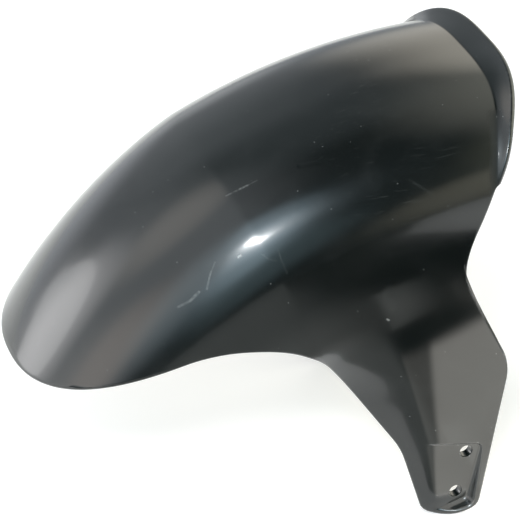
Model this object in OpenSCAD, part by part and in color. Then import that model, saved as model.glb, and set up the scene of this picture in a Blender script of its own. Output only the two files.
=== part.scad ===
// Motorcycle front mudguard: one compound-curved moulded shell with a flared
// rear lip, and a leg on each side with a recessed pad for two fork bolts.
// +X is forward, +Y is the left side and +Z is up, as the mudguard hangs on the forks.
// Side-view places are measured from the wheel axle.

/* [Crown line] */
// Radius of the crown line about the wheel axle
crown_r = 312.5; // [300:0.5:325]
// Angle of the nose tip, up from straight ahead
nose_angle = 41.3; // [38:0.1:46]
// Angle of the lip crease at the crown, up from straight ahead
lip_angle = 90; // [86:0.5:95]
// How far the nose tip drops inside the crown circle
nose_drop = 17; // [6:0.5:22]
// How far the crown line falls inside the crown circle at the lip
lip_drop = 0.5; // [0:0.5:4]

/* [Arch section] */
// Half the outside width near the nose
nose_half_width = 68.5; // [60:0.5:76]
// Half the outside width at the middle
mid_half_width = 73.5; // [68:0.5:80]
// Half the outside width at the lip
lip_half_width = 71.5; // [66:0.5:80]
// Depth from the crown to the side wall near the nose
nose_section_depth = 53; // [44:1:62]
// Depth from the crown to the side wall at the middle
mid_section_depth = 67; // [58:1:78]
// Depth from the crown to the side wall at the lip
lip_section_depth = 73; // [62:1:84]
// Roundness of the arch at the nose: 2 is an ellipse, more is squarer
nose_power = 2.3; // [2.1:0.05:2.8]
// Roundness of the arch at the lip
lip_power = 3; // [2.5:0.05:3.4]
// Thickness of the moulded wall
wall = 3; // [2.2:0.1:3.6]

/* [Side outline] */
// Forward place of the corner between nose edge and leg
arch_x = 113.5; // [107:0.5:119]
// Height of the corner between nose edge and leg
arch_z = 231.5; // [226:0.5:235]
// Rounding of that corner
arch_fillet = 64; // [50:1:76]
// Forward place of the waist corner behind the leg
waist_x = 29.5; // [24:0.5:33]
// Height of the waist corner
waist_z = 241.5; // [237:0.5:247]
// Rounding of the waist
waist_fillet = 38; // [28:1:48]
// Height of the lip crease at the crown over its side ends
lip_side_depth = 37.5; // [33:0.5:42]
// Forward bow of the lip crease between crown and sides
lip_bow = 2.8; // [0:0.2:5]
// Lean of the lip crease back from the crown radius
lip_lean = 19; // [12:0.5:24]

/* [Rear lip] */
// Width of the flared lip
lip_width = 8; // [7:0.5:12]
// Extra length of the lip at the crown
lip_swell = 4; // [0:0.5:5]
// Flare of the lip at the crown
lip_flare_top = 34; // [25:1:55]
// Flare of the lip at its side ends
lip_flare_side = 34; // [10:1:42]

/* [Legs] */
// Forward place of the middle of the bolt pair
lug_x = 24.2; // [20:0.1:29]
// Height of the middle of the bolt pair
lug_z = 126.7; // [121:0.1:133]
// Lean of the bolt pair back from upright
lug_lean = 11.5; // [8:0.5:16]
// Leg behind the bolt line
leg_rear = 11.3; // [10.5:0.1:14]
// Leg ahead of the bolt line, at its end
leg_front = 13.5; // [11:0.5:17]
// Leg below the middle of the bolt pair
leg_end = 24.3; // [22.5:0.1:28]
// Rounding of the corners of the leg end
leg_corner_r = 6; // [4:0.5:7]
// Height of the bend in the front edge of the leg, over the middle of the bolt pair
knee_height = 9.7; // [7:0.1:11]
// How far that bend is ahead of the leg end
knee_ahead = 18; // [15:0.5:19]
// Height of the bend in the rear edge of the leg, over the middle of the bolt pair
heel_height = 57.4; // [54:0.2:60]
// How far that bend is behind the leg end
heel_behind = 2.3; // [1:0.1:3.5]
// How far the leg root tucks in under the arch
tuck = 7; // [3:0.5:10]
// Depth below the crown line of the narrowest place
tuck_depth = 99; // [92:1:106]
// Outward flare of the leg below that place
leg_flare = 6; // [4:0.5:8]
// Inward turn of the front strip of the leg
strip_turn = 25; // [10:1:32]

/* [Mounting pads] */
// Distance between the two bolt holes
bolt_spacing = 22.5; // [20:0.5:24]
// Diameter of the bolt holes
bolt_d = 6.5; // [5.5:0.1:7.5]
// Half the distance between the two pad floors
pad_half_gap = 71.5; // [70:0.5:72]
// Thickness of the pad floor
pad_thickness = 5; // [4:0.1:7]
// Pad recess behind the bolt line
pad_rear = 6.8; // [6:0.1:8]
// Pad recess above the middle of the bolt pair
pad_top = 16; // [14:0.5:20]
// Pad recess below the middle of the bolt pair
pad_bottom = 19; // [17.5:0.5:20.5]
// Rounding of the recess corners
pad_corner_r = 3; // [1.5:0.5:4]

/* [Hidden] */
$fn = 48;

// Grid of the shell: stations between outline corners, rows from crown to edge, rows on the lip
station_step = 9;
crown_rows = 17;
lip_rows = 4;
arc_step = 15;
// How softly the crown line begins to drop towards the nose
nose_ease = 1.2;
// Stations crowd towards the round nose
nose_extra = 4;
nose_crowding = 2;
// Rows crowd towards the crown, where the section turns fastest
row_crowding = 1.6;
// How fast the bow of the crease fades into the crown
bow_fade = 6;
// Shortest lip, where it dies out at the sides
lip_end_width = 0.8;
// How late the lip begins to narrow towards its ends
lip_fade = 4;
// How far along the lip its extra length at the crown reaches
swell_end = 0.6;
// Concave curl of the lip between its crease and its rim
lip_curl = 24;
// Step for slopes, and the rounding of the turned strip
slope_step = 0.2;
strip_round = 5;
// How far the sides of a pad reach into the wall, and how far its cutters go on
bite = 0.8 * wall;
reach = 30;

function lerp(a, b, t) = a + (b - a) * t;
function clamp01(t) = min(1, max(0, t));
function smooth(t) = let (c = clamp01(t)) c * c * (3 - 2 * c);
function unit(v) = v / norm(v);
// A parabola through three values at 0, 1/2 and 1
function three(a, b, c, t) = a * (1 - t) * (1 - 2 * t) + 4 * b * t * (1 - t) + c * t * (2 * t - 1);
// A straight ramp that starts with a rounded bend
function ramp(t, r) = (t + sqrt(t * t + r * r)) / 2;

// Crown line and arch section at an angle from straight ahead
function share(a) = (a - nose_angle) / (lip_angle - nose_angle);
function near_share(a) = min(1.3, max(-0.3, share(a)));
function crown_at(a) =
    crown_r - nose_drop * pow(max(0, 1 - 2 * share(a)), nose_ease)
        - lip_drop * pow(max(0, min(1.3, 2 * share(a) - 1)), 2);
function crown_point(a) = crown_at(a) * [cos(a), sin(a)];
function arch_power(a) = lerp(nose_power, lip_power, clamp01(share(a)));
function arch_half(a) = three(nose_half_width, mid_half_width, lip_half_width, near_share(a));
function arch_depth(a) = three(nose_section_depth, mid_section_depth, lip_section_depth, near_share(a));

// Roundings of the knee, the leg end and the heel, and the step up to the rear of the leg end
knee_fillet = 40;
end_fillet = 20;
heel_fillet = 25;
end_flat = 10.5;
end_rise = 8;

// The bolt pair has its own frame: ahead of the bolt line, and up along it
lug = [lug_x, lug_z];
ahead = [cos(lug_lean), sin(lug_lean)];
along = [-sin(lug_lean), cos(lug_lean)];
function from_lug(w, v) = lug + w * ahead + v * along;
// Line on which the front strip of the leg begins to turn in
strip_start = 9.2;
strip_slope = 0.62;
function strip_ahead(q) =
    let (d = q - lug) d * ahead - strip_start - strip_slope * (d * along);

// Depths over which the wall tucks in, begins to flare and begins to turn in
tuck_run = 45;
flare_round = 12;
turn_depth = 80;
turn_run = 50;

// Half width of the side wall at a place in the side view
function side_half(x, z) =
    let (
        a = atan2(z, x),
        depth = crown_at(a) - norm([x, z]),
        tucked = smooth(1 + (depth - tuck_depth) / tuck_run),
        below = ramp(depth - tuck_depth, flare_round),
        turned = smooth((depth - turn_depth) / turn_run)
    )
    arch_half(a) - tuck * tucked + tan(leg_flare) * below
        - tan(strip_turn) * turned * ramp(strip_ahead([x, z]), strip_round);

// The outside surface is where this is zero
function field(p) =
    let (
        a = atan2(p.z, p.x),
        s = (crown_at(a) - norm([p.x, p.z])) / arch_depth(a),
        power = arch_power(a)
    )
    pow(abs(p.y) / side_half(p.x, p.z), power) + pow(max(0, 1 - s), power) - 1;
function slope(p, d) = field(p + d) - field(p - d);
function normal(p) = unit([
    slope(p, [slope_step, 0, 0]),
    slope(p, [0, slope_step, 0]),
    slope(p, [0, 0, slope_step])
]);

// Point of the outside surface at a place in the side view, on the left (1) or right (-1)
function skin(q, side) =
    let (
        a = atan2(q.y, q.x),
        s = clamp01((crown_at(a) - norm(q)) / arch_depth(a)),
        power = arch_power(a)
    )
    [q.x, side * side_half(q.x, q.y) * pow(1 - pow(1 - s, power), 1 / power), q.y];

// Side outline as corners: place, rounding, and the share of the crown line that faces the corner
nose_tip = crown_point(nose_angle);
lip_top = crown_point(lip_angle);
lip_side = lip_top - lip_side_depth * [cos(lip_angle + lip_lean), sin(lip_angle + lip_lean)];
outline_corners = [
    [nose_tip, 0, 0],
    [[arch_x, arch_z], arch_fillet, 0.49],
    [from_lug(leg_front + knee_ahead, knee_height), knee_fillet, 0.69],
    [from_lug(leg_front, -leg_end), leg_corner_r, 0.72],
    [from_lug(leg_front - end_flat, -leg_end), end_fillet, 0.74],
    [from_lug(-leg_rear, end_rise - leg_end), leg_corner_r, 0.755],
    [from_lug(-leg_rear - heel_behind, heel_height), heel_fillet, 0.79],
    [[waist_x, waist_z], waist_fillet, 0.84],
    [lip_side, 0, 1]
];

// Points of one rounded corner
function corner_arc(a, b, c, r) =
    let (
        u = unit(a - b),
        v = unit(c - b),
        half = acos(u * v) / 2,
        start = b + u * r / tan(half),
        centre = b + unit(u + v) * r / sin(half),
        turn = cross(b - a, c - b) > 0 ? 1 : -1,
        sweep = 180 - 2 * half,
        n = max(2, ceil(sweep / arc_step)),
        from = start - centre
    )
    [for (k = [0:n])
        let (t = turn * sweep * k / n)
        centre + [from.x * cos(t) - from.y * sin(t), from.x * sin(t) + from.y * cos(t)]];

// A closed outline whose corners are rounded, as points; rows are [place, rounding]
function rounded(rows) =
    let (n = len(rows))
    [for (k = [0:n - 1])
        for (q = corner_arc(rows[(k + n - 1) % n][0], rows[k][0], rows[(k + 1) % n][0], rows[k][1]))
            q];

// Stations: pairs of an outline place and a crown angle, evened out between the corners
function corner_places(k) =
    let (row = outline_corners[k])
    row[1] == 0 ? [row[0]]
        : corner_arc(outline_corners[k - 1][0], row[0], outline_corners[k + 1][0], row[1]);
function filled(path) = [
    path[0],
    for (k = [1:len(path) - 1])
        let (
            gap = norm(path[k][0] - path[k - 1][0]),
            nose = k == 1,
            n = max(1, round(gap / station_step)) + (nose ? nose_extra : 0)
        )
        for (m = [1:n])
            let (t = pow(m / n, nose ? nose_crowding : 1))
            [lerp(path[k - 1][0], path[k][0], t), lerp(path[k - 1][1], path[k][1], t)]
];
function with_share(k) =
    let (
        q = corner_places(k),
        here = outline_corners[k][2],
        last = len(q) - 1
    )
    last == 0 ? [[q[0], here]]
        : let (
            back = outline_corners[k - 1],
            next = outline_corners[k + 1],
            part_in = norm(q[0] - outline_corners[k][0]) / norm(back[0] - outline_corners[k][0]),
            part_out = norm(q[last] - outline_corners[k][0]) / norm(next[0] - outline_corners[k][0]),
            first_share = lerp(here, back[2], part_in * 0.8),
            last_share = lerp(here, next[2], part_out * 0.8)
        )
        [for (m = [0:last]) [q[m], lerp(first_share, last_share, m / last)]];
stations = filled([for (k = [0:len(outline_corners) - 1]) each with_share(k)]);

// Outside points: rows run from the right edge over the crown to the left edge
sides = [for (j = [-crown_rows:crown_rows]) j];
function station_angle(k) = lerp(nose_angle, lip_angle, stations[k][1]);
across = [sin(lip_angle + lip_lean), -cos(lip_angle + lip_lean)];
function skin_point(k, j) =
    let (
        top = crown_point(station_angle(k)),
        t = pow(abs(j) / crown_rows, row_crowding),
        bow = 4 * t * (1 - t) * lip_bow * pow(stations[k][1], bow_fade)
    )
    skin(lerp(top, stations[k][0], t) + bow * across, sign(j));
last_station = len(stations) - 1;

// The lip stands on the last station: back along the surface and out from it
function lip_share(j) = abs(j) / crown_rows;
function lip_length(j) =
    let (t = lip_share(j))
    max(lip_end_width, (lip_width + lip_swell * smooth(1 - t / swell_end)) * (1 - pow(t, lip_fade)));
function lip_turn(j, m) =
    lerp(lip_flare_top, lip_flare_side, lip_share(j)) + lip_curl * (m / lip_rows - 0.5);
function lip_profile(j, m) =
    m == 0 ? [0, 0]
        : lip_profile(j, m - 1)
            + lip_length(j) / lip_rows * [cos(lip_turn(j, m - 0.5)), sin(lip_turn(j, m - 0.5))];
rearward = [-across.x, 0, -across.y];
function lip_frame(j) =
    let (
        p = skin_point(last_station, j),
        n = normal(p)
    )
    [p, unit(rearward - (rearward * n) * n), n];
function lip_point(j, m, under) =
    let (
        f = lip_frame(j),
        q = lip_profile(j, m),
        bend = m == 0 ? lip_turn(j, 0.5) / 2 : lip_turn(j, m),
        t = under * wall / (m == 0 ? cos(bend) : 1)
    )
    f[0] + (q.x + t * sin(bend)) * f[1] + (q.y - t * cos(bend)) * f[2];

// One side of the shell as a list of points: the nose tip, the stations, then the lip
function face_points(under) = [
    let (tip = skin_point(0, 0)) tip - under * wall * normal(tip),
    for (k = [1:last_station - 1])
        for (j = sides)
            let (p = skin_point(k, j)) p - under * wall * normal(p),
    for (m = [0:lip_rows])
        for (j = sides)
            lip_point(j, m, under)
];
row_len = len(sides);
row_count = last_station + lip_rows;
face_len = 1 + row_count * row_len;
outer_points = face_points(0);
shell_points = concat(outer_points, face_points(1));
function at(k, j) = 1 + (k - 1) * row_len + j;

// Triangles of one face, those of the other turned over, and the edge strip between them
face_triangles = [
    for (j = [0:row_len - 2]) [0, at(1, j), at(1, j + 1)],
    for (k = [1:row_count - 1])
        for (j = [0:row_len - 2])
            each [
                [at(k, j), at(k + 1, j), at(k + 1, j + 1)],
                [at(k, j), at(k + 1, j + 1), at(k, j + 1)]
            ]
];
edge_loop = [
    0,
    for (k = [1:row_count]) at(k, 0),
    for (j = [1:row_len - 1]) at(row_count, j),
    for (k = [row_count - 1:-1:1]) at(k, row_len - 1)
];
edge_triangles = [
    for (k = [0:len(edge_loop) - 1])
        let (
            a = edge_loop[k],
            b = edge_loop[(k + 1) % len(edge_loop)]
        )
        each [[b, a, a + face_len], [b, a + face_len, b + face_len]]
];
shell_triangles = concat(
    face_triangles,
    [for (t = face_triangles) [t[2] + face_len, t[1] + face_len, t[0] + face_len]],
    edge_triangles
);

// The origin is under the middle of the mudguard, level with its lowest point
low = min([for (p = shell_points) p.z]);
middle = (max([for (p = shell_points) p.x]) + min([for (p = shell_points) p.x])) / 2;

// Where the front strip begins at a height along the bolt line, and how far the recess,
// its floor and its side walls go on past that line
function strip_at(v) = strip_start + strip_slope * v;
past_strip = 13;
floor_past = 2;
rim_past = 3.8;
// Wall behind the recess, the slant of its lower end, and where that slant turns
side_wall = 0.8 * wall;
pad_slant = 4;
pad_turn = 1;

// Recess of a pad, open towards the front strip
recess = [
    [[-pad_rear, pad_top], pad_corner_r],
    [[strip_at(pad_top) + past_strip, pad_top], 1],
    [[strip_at(-pad_bottom) + past_strip, -pad_bottom - pad_slant], 1],
    [[pad_turn, -pad_bottom], pad_corner_r],
    [[-pad_rear, -pad_bottom + pad_slant], pad_corner_r]
];
// Floor that closes the recess from inside
floor_shape = [
    [[-pad_rear - side_wall, pad_top + wall], pad_corner_r],
    [[strip_at(pad_top) + floor_past, pad_top + wall], 1],
    [[strip_at(-pad_bottom) + floor_past + pad_slant, -pad_bottom - wall], 1],
    [[pad_turn, -pad_bottom - wall], pad_corner_r],
    [[-pad_rear - side_wall, -pad_bottom + wall], pad_corner_r]
];
// Sides that join the floor to the leg behind, above and below the recess
rim_shape = [
    [[-pad_rear - side_wall, pad_top + wall], pad_corner_r],
    [[strip_at(pad_top) + rim_past, pad_top + wall], 1],
    [[strip_at(-pad_bottom) + rim_past, -pad_bottom - 0.7 * wall], 1],
    [[-pad_rear - side_wall, -pad_bottom + wall], pad_corner_r]
];

// Draws in the bolt pair's frame, with the local Z pointing out of the left side
module at_lug(out) {
    translate([lug_x, out, lug_z])
        rotate([0, -lug_lean, 0])
            rotate([90, 0, 180])
                mirror([1, 0, 0])
                    children();
}

module shell() {
    polyhedron(points = shell_points, faces = shell_triangles, convexity = 8);
}

// Blocks that thicken one leg behind the recess
module pad_blocks() {
    at_lug(pad_half_gap - pad_thickness)
        linear_extrude(pad_thickness + 0.2 * wall)
            polygon(rounded(floor_shape));
    leg_surface = skin(lug, 1).y;
    intersection() {
        at_lug(leg_surface - bite)
            rotate([-leg_flare, 0, 0])
                translate([0, 0, -reach])
                    linear_extrude(reach)
                        polygon(rounded(rim_shape));
        at_lug(pad_half_gap - pad_thickness)
            linear_extrude(reach)
                square(3 * reach, center = true);
    }
}

module pad_cuts() {
    at_lug(pad_half_gap)
        linear_extrude(reach)
            polygon(rounded(recess));
    for (v = [-1, 1] * bolt_spacing / 2)
        at_lug(pad_half_gap - reach / 2)
            translate([0, v, 0])
                cylinder(h = reach, d = bolt_d);
}

module both_sides() {
    children();
    mirror([0, 1, 0]) children();
}

module mudguard() {
    color("#33393a")
        translate([-middle, 0, -low])
            difference() {
                union() {
                    shell();
                    both_sides() pad_blocks();
                }
                both_sides() pad_cuts();
            }
}

mudguard();
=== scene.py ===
# Looks of a motorcycle front mudguard: one glossy dark moulded shell.
# Shapes are worked out in millimetres from the wheel axle (x forward, y left, z up),
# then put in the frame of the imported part, in metres.
import math

import bmesh
import bpy
import numpy as np
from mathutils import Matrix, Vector
from mathutils.bvhtree import BVHTree
from mathutils.geometry import delaunay_2d_cdt


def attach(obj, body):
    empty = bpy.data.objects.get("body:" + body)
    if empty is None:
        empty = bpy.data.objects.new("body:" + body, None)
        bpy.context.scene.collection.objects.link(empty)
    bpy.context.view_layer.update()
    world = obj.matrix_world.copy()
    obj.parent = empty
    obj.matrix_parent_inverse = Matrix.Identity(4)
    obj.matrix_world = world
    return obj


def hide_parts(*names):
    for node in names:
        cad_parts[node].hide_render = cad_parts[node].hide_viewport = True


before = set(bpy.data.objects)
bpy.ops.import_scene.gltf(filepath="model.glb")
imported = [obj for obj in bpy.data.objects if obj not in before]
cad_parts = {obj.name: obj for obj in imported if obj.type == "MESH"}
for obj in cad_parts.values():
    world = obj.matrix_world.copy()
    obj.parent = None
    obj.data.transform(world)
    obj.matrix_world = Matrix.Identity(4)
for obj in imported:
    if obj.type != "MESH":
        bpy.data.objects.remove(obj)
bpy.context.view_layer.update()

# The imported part's origin, seen from the axle
ORIGIN = np.array([104.963, 0.0, 104.153])

# Crown line in the side view: radius, angles of its ends, and how far it drops towards them
CROWN_R = 312.5
NOSE_ANGLE = 41.3
LIP_ANGLE = 90.0
NOSE_DROP = 17.0
NOSE_EASE = 1.2
LIP_DROP = 0.5

# Cross section at the nose, the middle and the lip, and how square it is at nose and lip
HALF_WIDTH = (68.5, 73.5, 71.5)
SECTION_DEPTH = (53.0, 67.0, 73.0)
POWER = (2.3, 3.0)
WALL = 3.0
# Beyond these shares of the crown line the section stays as it is
HELD_FROM = -0.3
HELD_TO = 1.3

# The side wall tucks in under the arch, flares out on the leg, and turns in at the leg's front
TUCK = 7.0
TUCK_DEPTH = 99.0
TUCK_RUN = 45.0
LEG_FLARE = math.radians(6.0)
FLARE_ROUND = 12.0
STRIP_TURN = math.radians(25.0)
TURN_DEPTH = 80.0
TURN_RUN = 50.0
STRIP_START = 9.2
STRIP_SLOPE = 0.62
STRIP_ROUND = 5.0

# Arch in front of the leg and waist behind it: the corner's place and its radius
ARCH = (113.5, 231.5)
ARCH_FILLET = 64.0
WAIST = (29.5, 241.5)
WAIST_FILLET = 38.0

# Rear lip: the crease it starts from, its length, flare and curl
LIP_SIDE_DEPTH = 37.5
LIP_LEAN = 19.0
LIP_BOW = 2.8
BOW_FADE = 6.0
LIP_WIDTH = 8.0
LIP_SWELL = 4.0
SWELL_END = 0.6
LIP_FADE = 4.0
LIP_FLARE_TOP = 34.0
LIP_FLARE_SIDE = 34.0
LIP_CURL = 24.0
CREASE_BEND = 1.3
BEND_EASE = 1.5

# Leg, measured ahead of and along the line through its two bolts
LUG = np.array([24.2, 126.7])
LUG_LEAN = math.radians(11.5)
LEG_REAR = 11.3
LEG_FRONT = 13.5
LEG_END = 24.3
LEG_CORNER_R = 6.0
KNEE_AHEAD = 18.0
KNEE_HEIGHT = 9.7
KNEE_FILLET = 40.0
HEEL_BEHIND = 2.3
HEEL_HEIGHT = 57.4
HEEL_FILLET = 25.0
END_FLAT = 10.5
END_RISE = 8.0
END_FILLET = 20.0
AHEAD = np.array([math.cos(LUG_LEAN), math.sin(LUG_LEAN)])
ALONG = np.array([-math.sin(LUG_LEAN), math.cos(LUG_LEAN)])

# Mounting pad: bolts, recess from outside and thicker block from inside
BOLT_SPACING = 22.5
BOLT_R = 3.25
PAD_HALF_GAP = 71.5
PAD_THICKNESS = 5.0
PAD_REAR = 6.8
PAD_TOP = 16.0
PAD_BOTTOM = 19.0
PAD_CORNER_R = 3.0
PAD_SLANT = 4.0
PAD_TURN = 1.0
PAST_STRIP = 13.0
BLOCK_BITE = 0.6
BLOCK_BELOW = 2.6
BLOCK_REAR = PAD_REAR + WALL - BLOCK_BITE
BLOCK_TOP = PAD_TOP + WALL
BLOCK_BOTTOM = PAD_BOTTOM + BLOCK_BELOW
BLOCK_SLANT = 5.6
BLOCK_PAST_STRIP = 12.0
BLOCK_END_R = 2.0
# Slope of their sides, the fillet at its foot, and how softly it runs out into the wall
RECESS_DRAFT = 1 / math.tan(math.radians(21))
RECESS_FILLET = 0.9
RECESS_BLEND = 1.2
BLOCK_DRAFT = 5.0
BLOCK_FILLET = 0.7
BLOCK_BLEND = 0.8

# How fine the shell is: rows from crown to edge, spacing along the outline, rows on the lip
ROWS = 56
ROW_CROWDING = 1.6
STATION_STEP = 2.1
STATION_SMOOTHING = 12
SLOPE_STEP = 0.05
LIP_ROWS = 14
LIP_ROW_CROWDING = 1.5
CURL_STEPS = 120
# The lip's rows start ahead of the crease: this far, or more where the lip is short
LIP_START = 0.6
SHORT_LIP = 1.9

# Rounded edges: of the whole moulding, of the pads' outlines and of the bolt holes
EDGE_R = 1.15
EDGE_STEPS = 5
EDGE_GAP = 0.5
# The least sine of the angle between a station and the edge that its trim allows for
LEAST_SINE = 0.2
PAD_ARC_STEP = 6.0
PAD_OUTLINE_STEP = 0.8
HOLE_RIM = 0.15
HOLE_SIDES = 56
RIM_R = BOLT_R + HOLE_RIM
# Points closer than this, in metres, become one
WELD = 2e-6

# Patch of free triangles on the lower leg: how far it goes along and ahead of the bolt line
PATCH_TOP = 24
PATCH_FRONT = 45
# The plain spread of points in it: first, last and step, and the gaps that they keep
SPREAD_AHEAD = (-22, 45, 1.5)
SPREAD_ALONG = (-34, 34, 1.3)
SPREAD_GAP = 1.0
BORDER_GAP = 0.55
LEAST_GAP = 0.2
# Rows of points that follow the outlines of recess, block and holes, this far outside them
RECESS_LOOPS = (
    -2.4, -1.6, -1.1, -0.8, -0.5, -0.2, 0.1, 0.4, 0.7, 1.0, 1.3, 1.6, 1.9, 2.2, 2.5, 2.8, 3.1, 3.5, 4.2,
)
BLOCK_LOOPS = (-1.6, -0.8, -0.3, 0.1, 0.3, 0.5, 0.8, 1.1, 1.5, 2.4)
HOLE_LOOPS = (0.35, 0.9, 1.8)

# The camera of the photograph: how far ahead of square it stands, how high and how far away,
# the point that it aims at beside the axle, and its focal length and frame in pixels
CAMERA_TURN = math.radians(20.02)
CAMERA_RISE = math.radians(31.98)
CAMERA_AWAY = 1400
AIM_RIGHT = -93.05
AIM_UP = 167.21
FOCAL_PIXELS = 2688
IMAGE_SIDE = 520
SENSOR = 36
to_camera = np.array([
    math.sin(CAMERA_TURN) * math.cos(CAMERA_RISE),
    math.cos(CAMERA_TURN) * math.cos(CAMERA_RISE),
    math.sin(CAMERA_RISE),
])
image_right = np.array([-math.cos(CAMERA_TURN), math.sin(CAMERA_TURN), 0])
image_up = np.cross(image_right, -to_camera)
aim = AIM_RIGHT * image_right + AIM_UP * image_up
camera_place = Vector((aim + CAMERA_AWAY * to_camera - ORIGIN) / 1000)


def lerp(a, b, t):
    return a + (b - a) * t


def smooth(t):
    """A soft step from 0 to 1."""
    c = np.clip(t, 0, 1)
    return c * c * (3 - 2 * c)


def through(values, t):
    """A parabola through three values at 0, 1/2 and 1."""
    a, b, c = values
    return a * (1 - t) * (1 - 2 * t) + 4 * b * t * (1 - t) + c * t * (2 * t - 1)


def ramp(t, r):
    """A straight ramp that starts with a rounded bend."""
    return (t + np.sqrt(t * t + r * r)) / 2


def unit(v):
    return v / np.maximum(np.linalg.norm(v, axis=-1, keepdims=True), 1e-12)


# The moulded surface
def crown_share(a):
    """Share of the way from the nose to the lip at an angle round the axle."""
    return (a - NOSE_ANGLE) / (LIP_ANGLE - NOSE_ANGLE)


def crown_at(a):
    s = crown_share(a)
    nose_drop = NOSE_DROP * np.maximum(0, 1 - 2 * s) ** NOSE_EASE
    lip_drop = LIP_DROP * np.clip(2 * s - 1, 0, HELD_TO) ** 2
    return CROWN_R - nose_drop - lip_drop


def crown_point(a):
    t = np.radians(a)
    return crown_at(a)[..., None] * np.stack([np.cos(t), np.sin(t)], axis=-1)


def section(x, z):
    """Angle round the axle, half width, depth and power of the cross section at a place."""
    a = np.degrees(np.arctan2(z, x))
    s = crown_share(a)
    held = np.clip(s, HELD_FROM, HELD_TO)
    return a, through(HALF_WIDTH, held), through(SECTION_DEPTH, held), lerp(*POWER, np.clip(s, 0, 1))


def lug_frame(q):
    """How far a place lies ahead of the bolt line, and how far along it."""
    d = q - LUG
    return d @ AHEAD, d @ ALONG


def strip_ahead(q):
    w, v = lug_frame(q)
    return w - STRIP_START - STRIP_SLOPE * v


def side_half(x, z):
    """Half width of the side wall: the arch's, tucked in, flared and turned in."""
    a, half, _, _ = section(x, z)
    depth = crown_at(a) - np.hypot(x, z)
    tucked = smooth((depth - TUCK_DEPTH + TUCK_RUN) / TUCK_RUN)
    below = ramp(depth - TUCK_DEPTH, FLARE_ROUND)
    turned = smooth((depth - TURN_DEPTH) / TURN_RUN)
    strip = ramp(strip_ahead(np.stack([x, z], axis=-1)), STRIP_ROUND)
    return half - TUCK * tucked + math.tan(LEG_FLARE) * below - math.tan(STRIP_TURN) * turned * strip


def field(p):
    """0 on the outside surface, and positive outside it."""
    x, y, z = p[..., 0], p[..., 1], p[..., 2]
    a, _, depth, power = section(x, z)
    s = (crown_at(a) - np.hypot(x, z)) / depth
    return (np.abs(y) / side_half(x, z)) ** power + np.maximum(0, 1 - s) ** power - 1


def normal(p):
    """Outward normal of the surface, from slopes over a small step."""
    out = np.zeros_like(p)
    for k in range(3):
        d = np.zeros(3)
        d[k] = SLOPE_STEP
        out[..., k] = field(p + d) - field(p - d)
    return unit(out)


def skin_y(q):
    """Half width of the outside surface at places in the side view."""
    a, _, depth, power = section(q[..., 0], q[..., 1])
    s = np.clip((crown_at(a) - np.hypot(q[..., 0], q[..., 1])) / depth, 0, 1)
    return side_half(q[..., 0], q[..., 1]) * (1 - (1 - s) ** power) ** (1 / power)


def skin(q):
    """Places in space on the outside surface, from places in the side view."""
    return np.stack([q[..., 0], skin_y(q), q[..., 1]], axis=-1)


# Outline in the side view
def from_lug(w, v):
    """A side-view place, from how far it lies ahead of the bolt line and along it."""
    return LUG + w * AHEAD + v * ALONG


def corner_arc(a, b, c, r, step=2.0):
    """The arc that rounds the corner at b, with a point every so many degrees."""
    u, v = unit(a - b), unit(c - b)
    half = math.acos(float(u @ v)) / 2
    start = b + u * r / math.tan(half)
    centre = b + unit(u + v) * r / math.sin(half)
    cross = (b - a)[0] * (c - b)[1] - (b - a)[1] * (c - b)[0]
    sweep = math.pi - 2 * half
    n = max(4, math.ceil(math.degrees(sweep) / step))
    x, y = start - centre
    t = math.copysign(sweep, cross) * np.arange(n + 1) / n
    return centre + np.stack([x * np.cos(t) - y * np.sin(t), x * np.sin(t) + y * np.cos(t)], axis=-1)


nose_tip = crown_point(np.array(NOSE_ANGLE))
lip_top = crown_point(np.array(LIP_ANGLE))
lean = math.radians(LIP_ANGLE + LIP_LEAN)
lip_side = lip_top - LIP_SIDE_DEPTH * np.array([math.cos(lean), math.sin(lean)])
across = np.array([math.sin(lean), -math.cos(lean)])
rearward = np.array([-across[0], 0.0, -across[1]])

# Corners of the outline, their radii, and the share of the crown line that faces each
CORNERS = [
    (nose_tip, 0, 0),
    (np.array(ARCH), ARCH_FILLET, 0.49),
    (from_lug(LEG_FRONT + KNEE_AHEAD, KNEE_HEIGHT), KNEE_FILLET, 0.69),
    (from_lug(LEG_FRONT, -LEG_END), LEG_CORNER_R, 0.72),
    (from_lug(LEG_FRONT - END_FLAT, -LEG_END), END_FILLET, 0.74),
    (from_lug(-LEG_REAR, END_RISE - LEG_END), LEG_CORNER_R, 0.755),
    (from_lug(-LEG_REAR - HEEL_BEHIND, HEEL_HEIGHT), HEEL_FILLET, 0.79),
    (np.array(WAIST), WAIST_FILLET, 0.84),
    (lip_side, 0, 1),
]
# How much of the way to the next corner's share an arc's end takes
ARC_PULL = 0.8
# The nose edge is straight in the side view, and becomes the first row across
NOSE_PART = 0.42


def outline_places():
    """Places along the outline and the share of the crown line that faces each."""
    places, shares = [], []
    for k, (corner, radius, here) in enumerate(CORNERS):
        if radius == 0:
            places.append(corner[None])
            shares.append(np.array([here]))
            continue
        back, ahead = CORNERS[k - 1], CORNERS[k + 1]
        arc = corner_arc(back[0], corner, ahead[0], radius)
        part_in = np.linalg.norm(arc[0] - corner) / np.linalg.norm(back[0] - corner)
        part_out = np.linalg.norm(arc[-1] - corner) / np.linalg.norm(ahead[0] - corner)
        first = lerp(here, back[2], part_in * ARC_PULL)
        last = lerp(here, ahead[2], part_out * ARC_PULL)
        places.append(arc)
        shares.append(np.linspace(first, last, len(arc)))
    return np.concatenate(places), np.concatenate(shares)


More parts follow.
